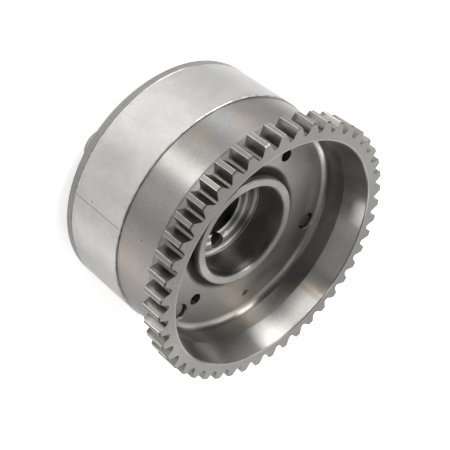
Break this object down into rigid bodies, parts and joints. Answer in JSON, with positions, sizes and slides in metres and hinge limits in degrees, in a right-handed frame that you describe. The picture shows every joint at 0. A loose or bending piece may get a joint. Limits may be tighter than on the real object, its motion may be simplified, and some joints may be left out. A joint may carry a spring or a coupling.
{
  "type": "camshaft phaser with a timing chain sprocket",
  "caption": "Camshaft phaser: a toothed chain sprocket on a deep steel bell, bolted to a round aluminium stator and cover, with a vane rotor that turns inside.",
  "frame": {"origin": "on the axis, in the plane that the clamp screws' heads stand on", "axes": "+Z along the axis, from the cover to the sprocket and the camshaft side; +X through the axis of the first clamp screw"},
  "size_m": [0.0934, 0.0934, 0.0567],
  "materials": {
    "bell_steel": "turned and honed steel, satin, bright on the edges",
    "stator_aluminium": "matt extruded aluminium",
    "cover_steel": "turned steel, a little darker",
    "screw_steel": "phosphated steel, dark and dull",
    "dowel_steel": "ground steel",
    "bush_steel": "hardened and ground steel",
    "rotor_aluminium": "machined aluminium",
    "pin_steel": "hardened and ground steel",
    "spring_steel": "drawn spring wire and strip",
    "seat_steel": "stamped steel",
    "seal_plastic": "filled high-temperature plastic"
  },
  "bodies": {
    "housing": {"sprocket_bell": "bell_steel", "stator_ring": "stator_aluminium", "cover_plate": "cover_steel", "clamp_screws": "screw_steel", "locating_dowels": "dowel_steel", "lock_seat_bush": "bush_steel", "lobe_seal_1": "seal_plastic", "lobe_seal_2": "seal_plastic", "lobe_seal_3": "seal_plastic", "lobe_seal_4": "seal_plastic", "lobe_seal_spring_1": "spring_steel", "lobe_seal_spring_2": "spring_steel", "lobe_seal_spring_3": "spring_steel", "lobe_seal_spring_4": "spring_steel"},
    "rotor": {"vane_rotor": "rotor_aluminium", "lock_spring_seat": "seat_steel", "lock_spring": "spring_steel", "vane_seal_1": "seal_plastic", "vane_seal_2": "seal_plastic", "vane_seal_3": "seal_plastic", "vane_seal_4": "seal_plastic", "vane_seal_spring_1": "spring_steel", "vane_seal_spring_2": "spring_steel", "vane_seal_spring_3": "spring_steel", "vane_seal_spring_4": "spring_steel"},
    "pin": {"locking_pin": "pin_steel"}
  },
  "joints": [
    {"name": "phasing", "type": "hinge", "parent": "housing", "child": "rotor", "pos_m": [0, 0, 0.0178], "axis": [0, 0, 1], "range_deg": [-15, 15]},
    {"name": "locking_pin_slide", "type": "slide", "parent": "rotor", "child": "pin", "axis": [0, 0, 1], "range_m": [-0.0032, 0], "stiffness_N_per_m": 800, "springref_m": 0.008, "deforming": ["lock_spring"]}
  ]
}
